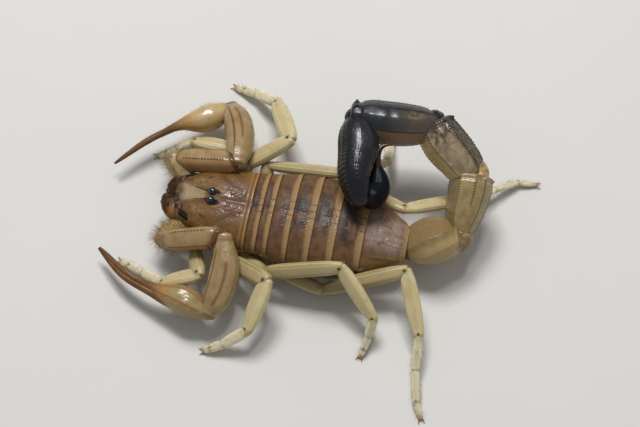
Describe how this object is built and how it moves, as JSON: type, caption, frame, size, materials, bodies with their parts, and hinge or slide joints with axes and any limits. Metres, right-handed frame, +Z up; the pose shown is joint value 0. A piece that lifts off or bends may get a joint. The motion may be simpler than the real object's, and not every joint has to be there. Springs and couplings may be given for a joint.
{
  "type": "desert scorpion",
  "caption": "Life-size still model of a thick-tailed desert scorpion at rest on its belly, with bent claws and a dark tail curled sideways over its back.",
  "frame": {"origin": "on the floor at the flat of the belly, on the midline under the fourth back plate", "axes": "-Y towards the head, +X towards the animal's left, +Z up from the floor it rests on"},
  "size_m": [0.0394, 0.0524, 0.0131],
  "materials": {
    "shield": "tan-brown shell, glossy, finely granular",
    "back": "purplish brown plates with orange-tan rear bands, satin to glossy",
    "belly": "pale olive-yellow soft skin and hip plates, satin",
    "eye": "black, wet gloss",
    "chelicera": "dark brown, very glossy",
    "tail_pale": "olive-beige shell with dark keels, glossy",
    "tail_brown": "grey-brown shell with dark keels, glossy",
    "tail_dark": "blue-black shell, glossy and granular",
    "palp": "tan-orange translucent shell with dark keels, glossy",
    "finger": "red-brown, glossy, darker to the tips",
    "leg": "pale yellow-olive translucent shell, satin to glossy"
  },
  "bodies": {
    "root": {"carapace": "shield", "tergite_1": "back", "tergite_2": "back", "tergite_3": "back", "tergite_4": "back", "tergite_5": "back", "tergite_6": "back", "tergite_7": "back", "coxae": "belly", "belly": "belly", "pecten_left": "belly", "pecten_right": "belly", "eye_left": "eye", "eye_right": "eye", "chelicera_left": "chelicera", "chelicera_right": "chelicera", "tail_1": "tail_pale", "tail_2": "tail_pale", "tail_3": "tail_brown", "tail_4": "tail_dark", "tail_5": "tail_dark", "telson": "tail_dark", "sting": "tail_dark", "pedipalp_left_trochanter": "palp", "pedipalp_left_femur": "palp", "pedipalp_left_patella": "palp", "pedipalp_left_hand": "palp", "pedipalp_right_trochanter": "palp", "pedipalp_right_femur": "palp", "pedipalp_right_patella": "palp", "pedipalp_right_hand": "palp", "pedipalp_left_finger": "finger", "pedipalp_right_finger": "finger", "leg_left_1_femur": "leg", "leg_left_1_patella": "leg", "leg_left_1_foot": "leg", "leg_left_2_femur": "leg", "leg_left_2_patella": "leg", "leg_left_2_foot": "leg", "leg_left_3_femur": "leg", "leg_left_3_patella": "leg", "leg_left_3_foot": "leg", "leg_left_4_femur": "leg", "leg_left_4_patella": "leg", "leg_left_4_foot": "leg", "leg_right_1_femur": "leg", "leg_right_1_patella": "leg", "leg_right_1_foot": "leg", "leg_right_2_femur": "leg", "leg_right_2_patella": "leg", "leg_right_2_foot": "leg", "leg_right_3_femur": "leg", "leg_right_3_patella": "leg", "leg_right_3_foot": "leg", "leg_right_4_femur": "leg", "leg_right_4_patella": "leg", "leg_right_4_foot": "leg"}
  },
  "joints": []
}
